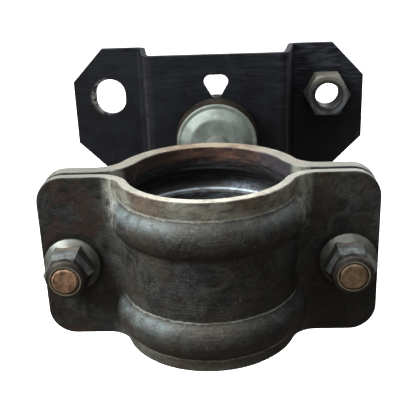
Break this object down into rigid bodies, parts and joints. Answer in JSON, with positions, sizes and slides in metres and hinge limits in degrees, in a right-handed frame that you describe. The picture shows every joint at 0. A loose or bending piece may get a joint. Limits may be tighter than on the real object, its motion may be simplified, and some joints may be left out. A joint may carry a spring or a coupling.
{
  "type": "pipe clamp coupling",
  "caption": "Split two-bolt pipe clamp with pressed ring beads, carried by a stem in a rubber mount on a chamfered hat-section bracket.",
  "frame": {"origin": "on the pipe axis, at mid height of the clamp", "axes": "+Z along the pipe axis; +Y from the clamp along the stem towards the bracket; +X to the right seen from the nuts"},
  "size_m": [0.179, 0.2341, 0.0808],
  "materials": {
    "clamp_steel": "blackened pressed steel, worn to pale metal on the sheared edges",
    "bracket_paint": "satin blue-black paint",
    "zinc": "dull bright-zinc plating",
    "worn_zinc": "zinc plating worn and stained brown",
    "rusty_steel": "plain steel with a brown rust film",
    "stem_steel": "turned steel, dull plated",
    "lock_ring": "nylon locking ring, stained",
    "rubber": "aged rubber, olive-brown dust"
  },
  "bodies": {
    "bracket_body": {"bracket": "bracket_paint", "mounting_nut": "zinc"},
    "front_rubber": {"front_bush": "rubber"},
    "rear_rubber": {"rear_bush": "rubber"},
    "clamp_body": {"stem": "stem_steel", "stem_boss": "clamp_steel", "rear_shell": "clamp_steel", "left_clamp_bolt": "rusty_steel", "right_clamp_bolt": "rusty_steel", "left_bolt_washer": "worn_zinc", "right_bolt_washer": "worn_zinc", "front_cup_washer": "zinc", "rear_cup_washer": "zinc", "bush_sleeve": "zinc", "stem_washer": "worn_zinc", "stem_nut": "zinc", "stem_nut_lock_ring": "lock_ring"},
    "front_half": {"front_shell": "clamp_steel"},
    "left_nut": {"left_flange_nut": "worn_zinc", "left_nut_lock_ring": "lock_ring"},
    "right_nut": {"right_flange_nut": "worn_zinc", "right_nut_lock_ring": "lock_ring"}
  },
  "joints": [
    {"name": "mount_swing", "type": "hinge", "parent": "bracket_body", "child": "front_rubber", "pos_m": [0, 0.1635, 0], "axis": [0, 0, 1], "range_deg": [-3, 3], "stiffness_Nm_per_rad": 80, "deforming": ["front_bush"]},
    {"name": "mount_nod", "type": "hinge", "parent": "front_rubber", "child": "rear_rubber", "pos_m": [0, 0.1635, 0], "axis": [1, 0, 0], "range_deg": [-3, 3], "stiffness_Nm_per_rad": 80, "deforming": ["rear_bush"]},
    {"name": "stem_swivel", "type": "hinge", "parent": "rear_rubber", "child": "clamp_body", "pos_m": [0, 0.1635, 0], "axis": [0, 1, 0], "range_deg": [-90, 90]},
    {"name": "front_half_travel", "type": "slide", "parent": "clamp_body", "child": "front_half", "axis": [0, -1, 0], "range_m": [0, 0.006]},
    {"name": "left_nut_turn", "type": "hinge", "parent": "front_half", "child": "left_nut", "pos_m": [-0.053, -0.0047, -0.0024], "axis": [0, -1, 0], "range_deg": [0, 1440]},
    {"name": "right_nut_turn", "type": "hinge", "parent": "front_half", "child": "right_nut", "pos_m": [0.053, -0.0047, -0.0024], "axis": [0, -1, 0], "range_deg": [0, 1440]}
  ],
  "couplings": [
    {"joint": "left_nut_turn", "follows": "front_half_travel", "rad_per_m": 4188.8},
    {"joint": "right_nut_turn", "follows": "front_half_travel", "rad_per_m": 4188.8}
  ]
}
